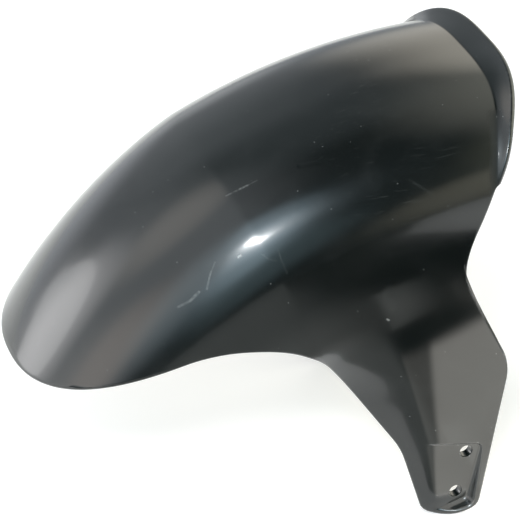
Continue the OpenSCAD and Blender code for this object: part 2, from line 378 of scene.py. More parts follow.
def smoothed(values, reach):
    """Values from 0 to 1, each averaged with its neighbours, with the ends kept in place."""
    kernel = np.hanning(2 * reach + 1)
    kernel /= kernel.sum()
    before = 2 * values[0] - values[reach:0:-1]
    after = 2 * values[-1] - values[-2 : -reach - 2 : -1]
    out = np.convolve(np.concatenate([before, values, after]), kernel, "valid")
    out[0], out[-1] = 0, 1
    return out


# Stations: each joins a place on the edge to the place on the crown line that faces it
places, shares = outline_places()
run = np.concatenate([[0], np.cumsum(np.linalg.norm(np.diff(places, axis=0), axis=1))])
nose_run = np.linalg.norm(places[1] - places[0]) * NOSE_PART
LAST = int(round((run[-1] - nose_run) / STATION_STEP))
STATIONS = LAST + 1
dist = np.linspace(nose_run, run[-1], STATIONS)
edge_q = np.stack([np.interp(dist, run, places[:, 0]), np.interp(dist, run, places[:, 1])], axis=-1)
facing_share = np.interp(dist, run, shares)
facing_share = (facing_share - facing_share[0]) / (facing_share[-1] - facing_share[0])
station_share = smoothed(facing_share, STATION_SMOOTHING)
top_q = crown_point(lerp(NOSE_ANGLE, LIP_ANGLE, station_share))


def station_places(k, t):
    """Side-view places at shares of one station's path, which bows towards the crease."""
    bow = 4 * t * (1 - t) * LIP_BOW * station_share[k] ** BOW_FADE
    return lerp(top_q[k], edge_q[k], t[:, None]) + bow[:, None] * across


# Length along the surface at fine shares of every station's path
fine = np.linspace(0, 1, 500) ** 3
path = skin(np.stack([station_places(k, fine) for k in range(STATIONS)]))
path[:, 0, 1] = 0
seg = np.linalg.norm(np.diff(path, axis=1), axis=2)
length = np.concatenate([np.zeros((STATIONS, 1)), np.cumsum(seg, axis=1)], axis=1)


def rows_to(total, rows):
    """Side-view grid with rows at even lengths from the crown to the given length of each path."""
    even = np.linspace(0, 1, rows)
    return np.stack([
        station_places(k, np.interp(even * total[k], length[k], fine)) for k in range(STATIONS)
    ])


# The bare edge, before it is rounded: nose row, outline, then the rim of the lip
full = skin(rows_to(length[:, -1], ROWS + 1))
full[:, 0, 1] = 0


# Rear lip
def lip_section(width, flare):
    """The lip's section from the crease to its rim: a tight bend, then a gentle curl."""
    s = np.linspace(0, 1, CURL_STEPS + 1)
    bend = np.clip(s * max(width, 1e-6) / CREASE_BEND, 0, 1) ** BEND_EASE
    turn = np.radians((flare + LIP_CURL * (s - 0.5)) * bend)
    middle = (turn[1:] + turn[:-1]) / 2
    step = width / CURL_STEPS
    x = np.concatenate([[0], np.cumsum(np.cos(middle))]) * step
    y = np.concatenate([[0], np.cumsum(np.sin(middle))]) * step
    return s * width, x, y, turn


def section_at(width, flare, s):
    """Place and turn on the lip's section at lengths s, which may start ahead of the crease."""
    along, x, y, turn = lip_section(width, flare)
    c = np.clip(s, 0, width)
    return np.interp(c, along, x) + np.minimum(s, 0), np.interp(c, along, y), np.interp(c, along, turn)


# Share of the way down the crease at each row, from the crown to the side
crease_run = np.linspace(0, 1, ROWS + 1) * length[LAST, -1]
lip_share = np.interp(crease_run, length[LAST], fine) ** (1 / ROW_CROWDING)
lip_len = (LIP_WIDTH + LIP_SWELL * smooth(1 - lip_share / SWELL_END)) * (1 - lip_share**LIP_FADE)
lip_flare = lerp(LIP_FLARE_TOP, LIP_FLARE_SIDE, lip_share)
crease = full[LAST]
lip_up = normal(crease)
lip_back = unit(rearward - (lip_up @ rearward)[:, None] * lip_up)


def lip_points(j, s):
    """Places and normals on the lip, at lengths s behind its crease."""
    x, y, turn = section_at(lip_len[j], lip_flare[j], s)
    at = crease[j] + x[:, None] * lip_back[j] + y[:, None] * lip_up[j]
    n = -np.sin(turn)[:, None] * lip_back[j] + np.cos(turn)[:, None] * lip_up[j]
    return at, n


# The whole edge in one line: nose, outline, lip. Each place has its normal and its way outward
lip_rim = [lip_points(j, np.array([lip_len[j]])) for j in range(ROWS - 1, -1, -1)]
rim = np.concatenate([full[0, :-1], full[:, ROWS]] + [p for p, _ in lip_rim])
rim_n = np.concatenate([normal(full[0, :-1]), normal(full[:, ROWS])] + [n for _, n in lip_rim])
mirror = np.array([1.0, -1.0, 1.0])
around = np.concatenate([rim[1:4][::-1] * mirror, rim, rim[-4:-1][::-1] * mirror])
tangent = unit(around[6:] - around[:-6])
rim_out = unit(np.cross(rim_n, tangent))
behind = np.concatenate([full[1, :-1], full[:, ROWS - 1]]) - rim[: ROWS + STATIONS]
if np.median(np.sum(rim_out[: len(behind)] * behind, axis=1)) > 0:
    rim_out = -rim_out
inset = rim - EDGE_R * rim_out

# Outer grid: the row at the nose and the end of every station sit on the inset edge
ends = unit(full[:, ROWS] - full[:, ROWS - 1])
meet = np.linalg.norm(np.cross(ends, tangent[ROWS : ROWS + STATIONS]), axis=1)
trim = (EDGE_R + EDGE_GAP) / np.maximum(meet, LEAST_SINE)
outer = np.zeros((STATIONS + LIP_ROWS, ROWS + 1, 3))
outer_n = np.zeros_like(outer)
outer[:STATIONS, :ROWS] = skin(rows_to(length[:, -1] - trim, ROWS))
outer_n[:STATIONS, :ROWS] = normal(outer[:STATIONS, :ROWS])
outer[0] = inset[: ROWS + 1]
outer_n[0] = rim_n[: ROWS + 1]
outer[:STATIONS, ROWS] = inset[ROWS : ROWS + STATIONS]
outer_n[:STATIONS, ROWS] = rim_n[ROWS : ROWS + STATIONS]
lip_spread = np.linspace(0, 1, LIP_ROWS + 1) ** LIP_ROW_CROWDING
for j in range(ROWS):
    start = -max(LIP_START, SHORT_LIP - lip_len[j])
    outer[LAST:, j], outer_n[LAST:, j] = lip_points(j, lerp(start, lip_len[j] - EDGE_R, lip_spread))
outer[LAST:, ROWS] = outer[LAST, ROWS]
outer_n[LAST:, ROWS] = outer_n[LAST, ROWS]
outer[-1, :ROWS] = inset[-ROWS:][::-1]
outer_n[-1, :ROWS] = rim_n[-ROWS:][::-1]
outer[:, 0, 1] = 0
outer_n[:, 0, 1] = 0
outer_n = unit(outer_n)
inner = outer - WALL * outer_n
inner[:, 0, 1] = 0


# Mounting pads
def rounded_outline(rows):
    """A closed outline with rounded corners, as points and outward normals."""
    rows = [(np.array(p, float), r) for p, r in rows]
    points = []
    for k, (b, r) in enumerate(rows):
        points.append(corner_arc(rows[k - 1][0], b, rows[(k + 1) % len(rows)][0], r, PAD_ARC_STEP))
    loop = np.concatenate(points)
    step = np.linalg.norm(np.roll(loop, -1, axis=0) - loop, axis=1)
    run = np.concatenate([[0], np.cumsum(step)])
    closed = np.concatenate([loop, loop[:1]])
    at = np.linspace(0, run[-1], int(run[-1] / PAD_OUTLINE_STEP), endpoint=False)
    out = np.stack([np.interp(at, run, closed[:, 0]), np.interp(at, run, closed[:, 1])], axis=-1)
    t = unit(np.roll(out, -1, axis=0) - np.roll(out, 1, axis=0))
    area = np.sum(out[:, 0] * np.roll(out[:, 1], -1) - np.roll(out[:, 0], -1) * out[:, 1])
    side = np.stack([t[:, 1], -t[:, 0]], axis=-1) * (1 if area > 0 else -1)
    return out, side


def inside(points, loop):
    """Whether each point is inside a closed loop."""
    a, b = loop, np.roll(loop, -1, axis=0)
    y = points[:, None, 1]
    crosses = (a[None, :, 1] > y) != (b[None, :, 1] > y)
    rise = np.where(b[:, 1] == a[:, 1], 1e-12, b[:, 1] - a[:, 1])
    x = a[None, :, 0] + (y - a[None, :, 1]) * (b[:, 0] - a[:, 0]) / rise
    return (np.sum(crosses & (points[:, None, 0] < x), axis=1) % 2) == 1


def distance(points, loop):
    """Distance of each point from a closed loop."""
    a, b = loop, np.roll(loop, -1, axis=0)
    d = b - a
    rel = points[:, None] - a[None]
    t = np.clip(np.sum(rel * d, axis=2) / np.maximum(np.sum(d * d, axis=1), 1e-12), 0, 1)
    return np.linalg.norm(rel - t[..., None] * d, axis=2).min(axis=1)


def signed(points, loop):
    """Distance from a closed loop, negative inside it."""
    return distance(points, loop) * np.where(inside(points, loop), -1, 1)


def soft_rise(d, steep, f):
    """0 inside an outline and a slope outside it, with a fillet between them."""
    return steep * np.where(d < -f, 0, np.where(d > f, d, (d + f) ** 2 / (4 * f)))


def soft_min(a, b, k):
    """The smaller of two values, with the change from one to the other rounded."""
    return np.minimum(a, b) - np.maximum(k - np.abs(a - b), 0) ** 2 / (4 * k)


def strip_at(v):
    """Where the turned front strip begins at a height along the bolt line."""
    return STRIP_START + STRIP_SLOPE * v


recess, recess_side = rounded_outline([
    ((-PAD_REAR, PAD_TOP), PAD_CORNER_R),
    ((strip_at(PAD_TOP) + PAST_STRIP, PAD_TOP), PAD_CORNER_R),
    ((strip_at(-PAD_BOTTOM) + PAST_STRIP, -PAD_BOTTOM - PAD_SLANT), PAD_CORNER_R),
    ((PAD_TURN, -PAD_BOTTOM), PAD_CORNER_R),
    ((-PAD_REAR, -PAD_BOTTOM + PAD_SLANT), PAD_CORNER_R),
])
block, block_side = rounded_outline([
    ((-BLOCK_REAR, BLOCK_TOP), PAD_CORNER_R),
    ((strip_at(PAD_TOP) + PAST_STRIP, BLOCK_TOP), PAD_CORNER_R),
    ((strip_at(-PAD_BOTTOM) + BLOCK_PAST_STRIP, -BLOCK_BOTTOM), BLOCK_END_R),
    ((PAD_TURN, -BLOCK_BOTTOM), PAD_CORNER_R),
    ((-BLOCK_REAR, -BLOCK_BOTTOM + BLOCK_SLANT), PAD_CORNER_R),
])


def outer_height(q):
    """Half width of the outside on the lower leg: the pad's recess cut into the skin."""
    d = signed(np.stack(lug_frame(q), axis=-1), recess)
    return soft_min(skin_y(q), PAD_HALF_GAP + soft_rise(d, RECESS_DRAFT, RECESS_FILLET), RECESS_BLEND)


def inner_height(q):
    """Half width of the inside on the lower leg: the wall, and the block behind the pad."""
    d = signed(np.stack(lug_frame(q), axis=-1), block)
    plain = skin_y(q) - WALL / np.abs(normal(skin(q))[:, 1])
    back = PAD_HALF_GAP - PAD_THICKNESS + soft_rise(d, BLOCK_DRAFT, BLOCK_FILLET)
    return soft_min(plain, back, BLOCK_BLEND)


HOLES = [from_lug(0, s * BOLT_SPACING / 2) for s in (-1, 1)]
turns = 2 * math.pi * np.arange(HOLE_SIDES) / HOLE_SIDES
CIRCLE = np.stack([np.cos(turns), np.sin(turns)], axis=-1)

# The grid gives way to a patch on the lower leg
grid_w, grid_v = lug_frame(outer[:STATIONS, :, [0, 2]])
low = (grid_v < PATCH_TOP) & (grid_w < PATCH_FRONT)
cut = low[:-1, :-1] & low[1:, :-1] & low[:-1, 1:] & low[1:, 1:]

# Outer quads. Vertex numbers of the inner side are those of the outer side plus SIDE
grid_rows = STATIONS + LIP_ROWS
SIDE = grid_rows * (ROWS + 1)
ids = np.arange(SIDE).reshape(grid_rows, ROWS + 1)
ids[STATIONS:, ROWS] = ids[LAST, ROWS]
verts = [outer.reshape(-1, 3), inner.reshape(-1, 3)]
faces = []
removed = []
for r in range(grid_rows - 1):
    for j in range(ROWS):
        quad = [ids[r, j], ids[r + 1, j], ids[r + 1, j + 1], ids[r, j + 1]]
        quad = [a for i, a in enumerate(quad) if a != quad[i - 1]]
        if r < LAST and cut[r, j]:
            removed.append(quad)
        else:
            faces.append(quad)
outer_quads = list(faces)


def border_loop(quads):
    """Vertex numbers in order round a group of quads."""
    once = {}
    for quad in quads:
        for i, a in enumerate(quad):
            b = quad[(i + 1) % len(quad)]
            if (b, a) in once:
                del once[(b, a)]
            else:
                once[(a, b)] = True
    following = {a: b for a, b in once}
    first = next(iter(following))
    loop = [first]
    while following[loop[-1]] != first:
        loop.append(following[loop[-1]])
    return np.array(loop)


patch_loop = border_loop(removed)


def spaced(points, gap):
    """The points that are further than the gap from every point kept before them."""
    keep = []
    cells = {}
    for i, p in enumerate(points):
        c = (int(p[0] // gap), int(p[1] // gap))
        beside = [q for u in (-1, 0, 1) for w in (-1, 0, 1) for q in cells.get((c[0] + u, c[1] + w), [])]
        if all(math.hypot(*(p - points[q])) > gap for q in beside):
            cells.setdefault(c, []).append(i)
            keep.append(i)
    return points[keep]


def patch_places(border, curve, side, offsets):
    """Side-view places inside the patch: offsets of a curve, rings round the holes, a plain spread."""
    fixed = []
    for d in offsets:
        w, v = (curve + d * side).T
        fixed.append(from_lug(w[:, None], v[:, None]))
    for h in HOLES:
        for grow in HOLE_LOOPS:
            fixed.append(h + (RIM_R + grow) * CIRCLE[::2])
    fixed = np.concatenate(fixed)
    w, v = np.meshgrid(np.arange(*SPREAD_AHEAD), np.arange(*SPREAD_ALONG))
    w = w + SPREAD_AHEAD[2] / 2 * (np.arange(w.shape[0]) % 2)[:, None]
    plain = from_lug(w.reshape(-1, 1), v.reshape(-1, 1))
    plain = plain[inside(plain, border)]
    gap = np.linalg.norm(plain[:, None] - fixed[None], axis=2).min(axis=1)
    loose = np.concatenate([fixed, plain[gap > SPREAD_GAP]])
    loose = loose[inside(loose, border)]
    loose = loose[distance(loose, border) > BORDER_GAP]
    for h in HOLES:
        loose = loose[np.linalg.norm(loose - h, axis=1) > RIM_R + LEAST_GAP]
    return spaced(loose, LEAST_GAP)


def patch(base, height, curve, side, offsets, first_id):
    """Fills the patch with triangles, and gives its new points and where each hole's rim starts."""
    border = base[patch_loop][:, [0, 2]]
    rings = [h + RIM_R * CIRCLE for h in HOLES]
    flat = np.concatenate([border] + rings + [patch_places(border, curve, side, offsets)])
    edges = []
    start = 0
    for ring in [border] + rings:
        n = len(ring)
        edges += [(start + i, start + (i + 1) % n) for i in range(n)]
        start += n
    _, _, tris, origin, _, _ = delaunay_2d_cdt([Vector(p) for p in flat], edges, [], 0, 1e-7)
    source = np.array([o[0] if o else -1 for o in origin])
    tris = source[np.array(tris)]
    centre = flat[tris].mean(axis=1)
    good = inside(centre, border)
    for h in HOLES:
        good &= ~inside(centre, h + RIM_R * CIRCLE)
    new = flat[len(border) :]
    points = np.stack([new[:, 0], height(new), new[:, 1]], axis=-1)
    number = np.concatenate([patch_loop, first_id + np.arange(len(new))])
    hole_starts = [first_id + i * HOLE_SIDES for i in range(len(HOLES))]
    return points, [list(number[t]) for t in tris[good]], hole_starts


next_id = 2 * SIDE
outer_patch, outer_tris, outer_rings = patch(
    verts[0], outer_height, recess, recess_side, RECESS_LOOPS, next_id
)
next_id += len(outer_patch)
inner_patch, inner_tris, inner_rings = patch(
    verts[1], inner_height, block, block_side, BLOCK_LOOPS, next_id
)
next_id += len(inner_patch)
verts += [outer_patch, inner_patch]
faces += outer_tris
faces += [[a + SIDE for a in quad[::-1]] for quad in outer_quads]
faces += [[a + SIDE if a < SIDE else a for a in tri[::-1]] for tri in inner_tris]


def strip_faces(one, two):
    """Quads between two lines of vertex numbers."""
    for i in range(len(one) - 1):
        faces.append([one[i], two[i], two[i + 1], one[i + 1]])


def hole_levels():
    """Radius and half width of each ring down a hole's wall, with both rims softened."""
    levels = []
    for face_y, inward, angles in (
        (PAD_HALF_GAP, -1, (30, 60, 90)),
        (PAD_HALF_GAP - PAD_THICKNESS, 1, (90, 60, 30)),
    ):
        for t in np.radians(angles):
            levels.append((
                BOLT_R + HOLE_RIM * (1 - math.sin(t)),
                face_y + inward * HOLE_RIM * (1 - math.cos(t)),
            ))
    return levels


def ring_from(start):
    """Vertex numbers round a hole, with the first one again at the end."""
    return [start + i % HOLE_SIDES for i in range(HOLE_SIDES + 1)]


# Hole walls
for h, top, bottom in zip(HOLES, outer_rings, inner_rings):
    before = ring_from(top)
    for radius, y in hole_levels():
        q = h + radius * CIRCLE
        verts.append(np.stack([q[:, 0], np.full(HOLE_SIDES, y), q[:, 1]], axis=-1))
        strip_faces(before, ring_from(next_id))
        before = ring_from(next_id)
        next_id += HOLE_SIDES
    strip_faces(before, ring_from(bottom))

# Rounded edge all the way round: a quarter turn from the outside, then one to the inside
edge_ids = np.concatenate([ids[0, :-1], ids[:STATIONS, ROWS], ids[-1, ROWS - 1 :: -1]])
before = edge_ids
for step in range(1, 2 * EDGE_STEPS + 1):
    if step <= EDGE_STEPS:
        t = math.radians(90 * step / EDGE_STEPS)
        p = inset - EDGE_R * rim_n + EDGE_R * (rim_n * math.cos(t) + rim_out * math.sin(t))
    else:
        t = math.radians(90 * (step - EDGE_STEPS - 1) / EDGE_STEPS)
        p = inset - (WALL - EDGE_R) * rim_n + EDGE_R * (rim_out * math.cos(t) - rim_n * math.sin(t))
    verts.append(p)
    now = np.arange(next_id, next_id + len(p))
    next_id += len(p)
    strip_faces(before, now)
    before = now
strip_faces(before, edge_ids + SIDE)

left_half = np.concatenate(verts)
left_half[np.abs(left_half[:, 1]) < 1e-6, 1] = 0

# Points handled at a time, to save memory
CHUNK = 2000


def closeness(points, line, reach):
    """1 on a line of points, falling to 0 at the reach in millimetres."""
    out = np.zeros(len(points))
    for start in range(0, len(points), CHUNK):
        some = points[start : start + CHUNK]
        away = np.linalg.norm(some[:, None] - line[None], axis=2).min(axis=1)
        out[start : start + CHUNK] = 1 - smooth(away / reach)
    return out


# The worn outer rim, and the grime that dulls the lip's crease down its sides
RIM_WEAR_REACH = 2.6
GRIME_REACH = 4.2
GRIME_START = 0.42
wear = {
    "rim": closeness(left_half, rim[::2], RIM_WEAR_REACH),
    "grime": closeness(left_half, crease[lip_share > GRIME_START], GRIME_REACH),
}

# The piece
both = (np.concatenate([left_half, left_half * mirror]) - ORIGIN) / 1000
mesh = bpy.data.meshes.new("mudguard_shell")
mesh.from_pydata(both.tolist(), [], faces + [[a + len(left_half) for a in f[::-1]] for f in faces])
for name, share in wear.items():
    layer = mesh.attributes.new(name, "FLOAT", "POINT")
    layer.data.foreach_set("value", np.concatenate([share, share]).astype(np.float32))
bm = bmesh.new()
bm.from_mesh(mesh)
bmesh.ops.delete(bm, geom=[v for v in bm.verts if not v.link_faces], context="VERTS")
bmesh.ops.remove_doubles(bm, verts=bm.verts, dist=WELD)
bmesh.ops.recalc_face_normals(bm, faces=bm.faces)
open_edges = sum(1 for e in bm.edges if len(e.link_faces) != 2)
print("shell faces", len(bm.faces), "open edges", open_edges)
shell_tree = BVHTree.FromBMesh(bm)
bm.to_mesh(mesh)
bm.free()
mesh.shade_smooth()
shell = bpy.data.objects.new("mudguard_shell", mesh)
bpy.context.scene.collection.objects.link(shell)


# Material
class Net:
    """Short calls that add shader nodes and link them."""

    def __init__(self, owner):
        owner.use_nodes = True
        self.tree = owner.node_tree
        self.shader = self.tree.nodes.get("Principled BSDF")

    def add(self, kind, inputs=(), **settings):
        node = self.tree.nodes.new(kind)
        for key, value in settings.items():
            setattr(node, key, value)
        for key, value in dict(inputs).items():
            self.put(node.inputs[key], value)
        return node

    def put(self, socket, value):
        if isinstance(value, bpy.types.NodeSocket):
            self.tree.links.new(value, socket)
        else:
            socket.default_value = value

    def set_shader(self, inputs):
        """Sets or links the shader's inputs."""
        for key, value in inputs.items():
            self.put(self.shader.inputs[key], value)

    def math(self, operation, a, b=0.0, c=0.0, clamp=False):
        node = self.add("ShaderNodeMath", {0: a, 1: b, 2: c}, operation=operation, use_clamp=clamp)
        return node.outputs[0]

    def times(self, a, b):
        return self.math("MULTIPLY", a, b)

    def most(self, a, b):
        return self.math("MAXIMUM", a, b)

    def total(self, values):
        out = values[0]
        for value in values[1:]:
            out = self.math("ADD", out, value)
        return out

    def vector(self, operation, a, b=(0, 0, 0), out=0):
        node = self.add("ShaderNodeVectorMath", {0: a, 1: b}, operation=operation)
        return node.outputs[out]

    def scaled(self, a, size):
        return self.add("ShaderNodeVectorMath", {0: a, 3: size}, operation="SCALE").outputs[0]

    def band(self, value, low, high, to_low=0.0, to_high=1.0):
        """A smooth step of a value from one level to another."""
        node = self.add(
            "ShaderNodeMapRange",
            {"Value": value, "From Min": low, "From Max": high, "To Min": to_low, "To Max": to_high},
            interpolation_type="SMOOTHSTEP",
        )
        return node.outputs[0]

    def noise(self, place, scale, detail=2.0, rough=0.5, distort=0.0):
        node = self.add("ShaderNodeTexNoise", {
            "Vector": place, "Scale": scale, "Detail": detail, "Roughness": rough, "Distortion": distort,
        })
        return node.outputs["Fac"]

    def turned(self, place, turn, stretch):
        mapping = {"Vector": place, "Rotation": turn, "Scale": stretch}
        return self.add("ShaderNodeMapping", mapping, vector_type="POINT").outputs[0]

    def mix(self, share, a, b):
        return self.add("ShaderNodeMix", {0: share, 6: a, 7: b}, data_type="RGBA").outputs[2]

    def attribute(self, name):
        return self.add("ShaderNodeAttribute", attribute_name=name).outputs["Fac"]

    def place(self):
        return self.add("ShaderNodeTexCoord").outputs["Object"]

    def xyz(self):
        """The three parts of the place, one by one."""
        return self.add("ShaderNodeSeparateXYZ", {0: self.place()}).outputs


# Scratches on the shell, placed by the photograph: both ends in its pixels, width in millimetres,
# and how light the scratch is
SCRATCHES = [
    ((226, 196), (239, 189.5), 0.65, 0.10),
    ((239, 189.5), (248, 185), 0.70, 0.17),
    ((248, 185), (257, 180.5), 0.55, 0.05),
    ((207, 289), (208.5, 281), 0.75, 0.10),
    ((208.5, 281), (211, 272), 0.65, 0.12),
    ((211, 272), (215, 262), 0.55, 0.06),
    ((178, 307), (190, 301), 0.85, 0.10),
    ((190, 301), (199, 292), 0.95, 0.15),
    ((238.5, 257), (240.5, 255.5), 0.90, 0.55),
    ((262, 254), (268, 259), 0.50, 0.05),
    ((268, 259), (276, 261), 0.50, 0.035),
    ((278, 250), (281, 259), 0.50, 0.045),
    ((281, 259), (287, 273), 0.50, 0.03),
    ((410, 180), (421, 187), 1.00, 0.020),
    ((421, 187), (432, 194), 1.00, 0.015),
    ((384, 296), (388, 288), 2.60, 0.015),
    ((386, 300), (393, 309), 2.80, 0.018),
    ((394, 304), (384, 296), 2.40, 0.012),
    ((387, 319), (389, 320.5), 0.75, 0.35),
]
# Shallow dents that show dark, placed in the same way: both ends and half width
DENTS = [
    ((300, 166), (320, 162), 1.5),
    ((320, 162), (334, 156), 1.8),
    ((334, 156), (348, 151), 1.4),
]
# Fine handling marks run three ways: turn and stretch of their noise, and where it counts as a mark
MARK_LAYERS = [
    ((0.4, 0.9, 0.3), (9, 900, 900), 0.69, 0.76),
    ((1.3, 0.2, 1.9), (14, 1300, 1300), 0.70, 0.77),
    ((0.8, 2.1, 0.6), (22, 700, 700), 0.71, 0.79),
]
DARK_TEAL = (0.0022, 0.0042, 0.0045, 1)
DARK_GREY = (0.0048, 0.0062, 0.0056, 1)
HAZE_GREY = (0.020, 0.022, 0.022, 1)
MARK_GREY = (0.42, 0.43, 0.42, 1)
HAZE_SHARE = 0.2
MARK_SHARE = 0.035
SPECK_SHARE = 0.26
RIM_SHARE = 0.07
ROUGHNESS = (0.17, 0.21)
HAZE_ROUGHNESS = 0.05
MARK_ROUGHNESS = 0.4
GRIME_ROUGHNESS = 0.4
COAT = 0.6
GRIME_COAT = 0.02
COAT_ROUGHNESS = 0.09
# Heights in metres
WAVES = 0.00007
PEEL = 0.0000045
SCRATCH_DEPTH = 0.00001
DENT_DEPTH = 0.00004


def on_shell(x, y):
    """The place on the shell, in metres, that lies behind a pixel of the photograph."""
    right, down = x - IMAGE_SIDE / 2, y - IMAGE_SIDE / 2
    ray = Vector(right * image_right - down * image_up - FOCAL_PIXELS * to_camera)
    return np.array(shell_tree.ray_cast(camera_place, ray.normalized())[0])


def scratch(net, place, one, two, width):
    """1 on a straight scratch between two pixels, fading to 0 at its width and its ends."""
    start = on_shell(*one)
    along = on_shell(*two) - start
    size = float(np.linalg.norm(along))
    from_start = net.vector("SUBTRACT", place, tuple(start))
    t = net.vector("DOT_PRODUCT", from_start, tuple(along / size), out="Value")
    held = net.math("MINIMUM", net.most(t, 0.0), size)
    foot = net.scaled(tuple(along / size), held)
    away = net.vector("LENGTH", net.vector("SUBTRACT", from_start, foot), out="Value")
    return net.band(away, width / 1000, width / 4000)


def named_scratches(net, place):
    """The scratches of the list, broken up along their length."""
    lightness = 0.0
    for one, two, width, power in SCRATCHES:
        lightness = net.most(lightness, net.times(scratch(net, place, one, two, width), power))
    return net.times(lightness, net.band(net.noise(place, 900, 2, 0.6), 0.35, 0.6, 0.45, 1.15))


def named_dents(net, place):
    """1 in the dents of the list."""
    pressed = 0.0
    for one, two, width in DENTS:
        pressed = net.most(pressed, scratch(net, place, one, two, width))
    return pressed


def fine_marks(net, place):
    """Handling marks in patches."""
    layers = []
    for turn, stretch, low, high in MARK_LAYERS:
        layers.append(net.band(net.noise(net.turned(place, turn, stretch), 1.0, 1, 0.4), low, high))
    patches = net.band(net.noise(place, 11, 2, 0.5), 0.4, 0.68)
    return net.math("MULTIPLY", net.total(layers), patches, clamp=True)


def dust_specks(net, place):
    """Dust and tiny pits: the middles of a few cells in a hundred."""
    cells = net.add("ShaderNodeTexVoronoi", {"Vector": place, "Scale": 420.0}, feature="F1")
    chosen = net.add("ShaderNodeSeparateColor", {0: cells.outputs["Color"]}).outputs[0]
    return net.times(net.band(cells.outputs["Distance"], 0.16, 0.05), net.band(chosen, 0.955, 0.965))


def worn_rim(net, place):
    """Wear on the outer rim, in ragged stretches."""
    return net.times(net.attribute("rim"), net.band(net.noise(place, 70, 3, 0.6), 0.35, 0.7))


def crease_grime(net, place):
    """Grime in the lip's crease, a little uneven."""
    ragged = net.band(net.noise(place, 120, 3, 0.6), 0.25, 0.55, 0.7, 1.0)
    return net.times(net.attribute("grime"), ragged)


def surface_height(net, place, light_marks):
    """Slow waves and faint peel of the moulding, with the scratches and dents pressed in."""
    return net.total([
        net.times(net.noise(place, 22, 1, 0.4), WAVES),
        net.times(net.noise(place, 300, 2, 0.5), PEEL),
        net.times(light_marks, -SCRATCH_DEPTH),
        net.times(named_dents(net, place), -DENT_DEPTH),
    ])


def glossy_shell():
    material = bpy.data.materials.new("shell")
    net = Net(material)
    place = net.place()

    # Slow drift of the colour and of the haze on the moulding
    cloud = net.noise(place, 14, 3, 0.55)
    haze = net.band(net.noise(place, 32, 4, 0.6, 0.4), 0.42, 0.75)
    colour = net.mix(cloud, DARK_TEAL, DARK_GREY)
    colour = net.mix(net.times(haze, HAZE_SHARE), colour, HAZE_GREY)

    light_marks = net.total([
        net.times(fine_marks(net, place), MARK_SHARE),
        net.times(dust_specks(net, place), SPECK_SHARE),
        net.times(worn_rim(net, place), RIM_SHARE),
        named_scratches(net, place),
    ])
    light_marks = net.math("MINIMUM", light_marks, 1.0)
    grime = crease_grime(net, place)
    rough = net.total([
        net.band(cloud, 0.25, 0.75, *ROUGHNESS),
        net.times(haze, HAZE_ROUGHNESS),
        net.times(light_marks, MARK_ROUGHNESS),
        net.times(grime, GRIME_ROUGHNESS),
    ])
    height = surface_height(net, place, light_marks)
    bump = net.add("ShaderNodeBump", {"Height": height, "Strength": 1.0, "Distance": 1.0}).outputs[0]
    net.set_shader({
        "Base Color": net.mix(light_marks, colour, MARK_GREY),
        "Roughness": rough,
        "Coat Weight": net.math("MULTIPLY_ADD", grime, GRIME_COAT - COAT, COAT),
        "Coat Roughness": COAT_ROUGHNESS,
        "Normal": bump,
        "Coat Normal": bump,
    })
    return material


mesh.materials.append(glossy_shell())
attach(shell, "root")
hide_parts("mudguard")

# Floor, and two stage pieces that are seen only mirrored in the gloss: a light panel, and a sheet of
# painted shade
FLOOR_GREY = (0.87, 0.85, 0.86, 1)
FLOOR_GLOW = 0.27
# Outline and height of the sheet that paints the floor's shade where the gloss mirrors it
SHADE_SHEET_EDGE = [
    (-0.26, 0.083), (-0.06, 0.083), (-0.02, 0.122), (0.4, 0.122),
    (1.6, 3), (-0.95, 3), (-0.34, 1), (-0.26, 0.5),
]
SHADE_SHEET_Z = 0.002
PANEL_REAR, PANEL_FRONT = -0.125, -0.048
PANEL_LOW, PANEL_HIGH = 0.003, 0.1
PANEL_Y = 0.081
PANEL_COLOUR = (1.0, 0.97, 0.9, 1)
PANEL_STRENGTH = 2.15


def flat_sheet(name, corners):
    """One flat face with a material of its own, and the net of that material."""
    sheet_mesh = bpy.data.meshes.new(name)
    sheet_mesh.from_pydata(corners, [], [tuple(range(len(corners)))])
    sheet = bpy.data.objects.new(name, sheet_mesh)
    bpy.context.scene.collection.objects.link(sheet)
    material = bpy.data.materials.new(name)
    sheet_mesh.materials.append(material)
    return sheet, Net(material)


def pale_floor():
    """A matt floor that looks white to the camera and in the gloss, and keeps its shadow."""
    sheet, net = flat_sheet("floor", [(-3, -3, 0), (3, -3, 0), (3, 3, 0), (-3, 3, 0)])
    rays = net.add("ShaderNodeLightPath").outputs
    seen = net.most(rays["Is Glossy Ray"], rays["Is Transmission Ray"])
    seen = net.most(rays["Is Camera Ray"], seen)
    net.set_shader({
        "Base Color": FLOOR_GREY,
        "Roughness": 0.9,
        "Specular IOR Level": 0.1,
        "Emission Color": (1, 1, 1, 1),
        "Emission Strength": net.times(seen, FLOOR_GLOW),
    })
    return sheet


def mirrored_shade_sheet():
    """A sheet on the floor at the left, seen only mirrored in the gloss: painted shade of the floor,
    dark behind the leg and paler ahead, with one pale patch of painted reflection.
    """
    sheet, net = flat_sheet("mirrored_shade_sheet", [(x, y, SHADE_SHEET_Z) for x, y in SHADE_SHEET_EDGE])
    x, y, _ = net.xyz()
    # Painted shade and one painted pale reflection: the floor beside the leg as the gloss mirrors it
    pale = net.times(net.band(x, -0.139, -0.106, 0.0, 0.36), net.band(x, -0.097, -0.103))
    pale = net.times(pale, net.band(y, 0.18, 0.16))
    shade = net.most(net.band(x, -0.12, -0.04, 0.01, 0.42), pale)
    net.set_shader({
        "Base Color": net.add("ShaderNodeCombineColor", {0: shade, 1: shade, 2: shade}).outputs[0],
        "Roughness": 1.0,
        "Specular IOR Level": 0.0,
    })
    sheet.visible_camera = False
    sheet.visible_diffuse = False
    sheet.visible_shadow = False
    sheet.visible_transmission = False
    return sheet


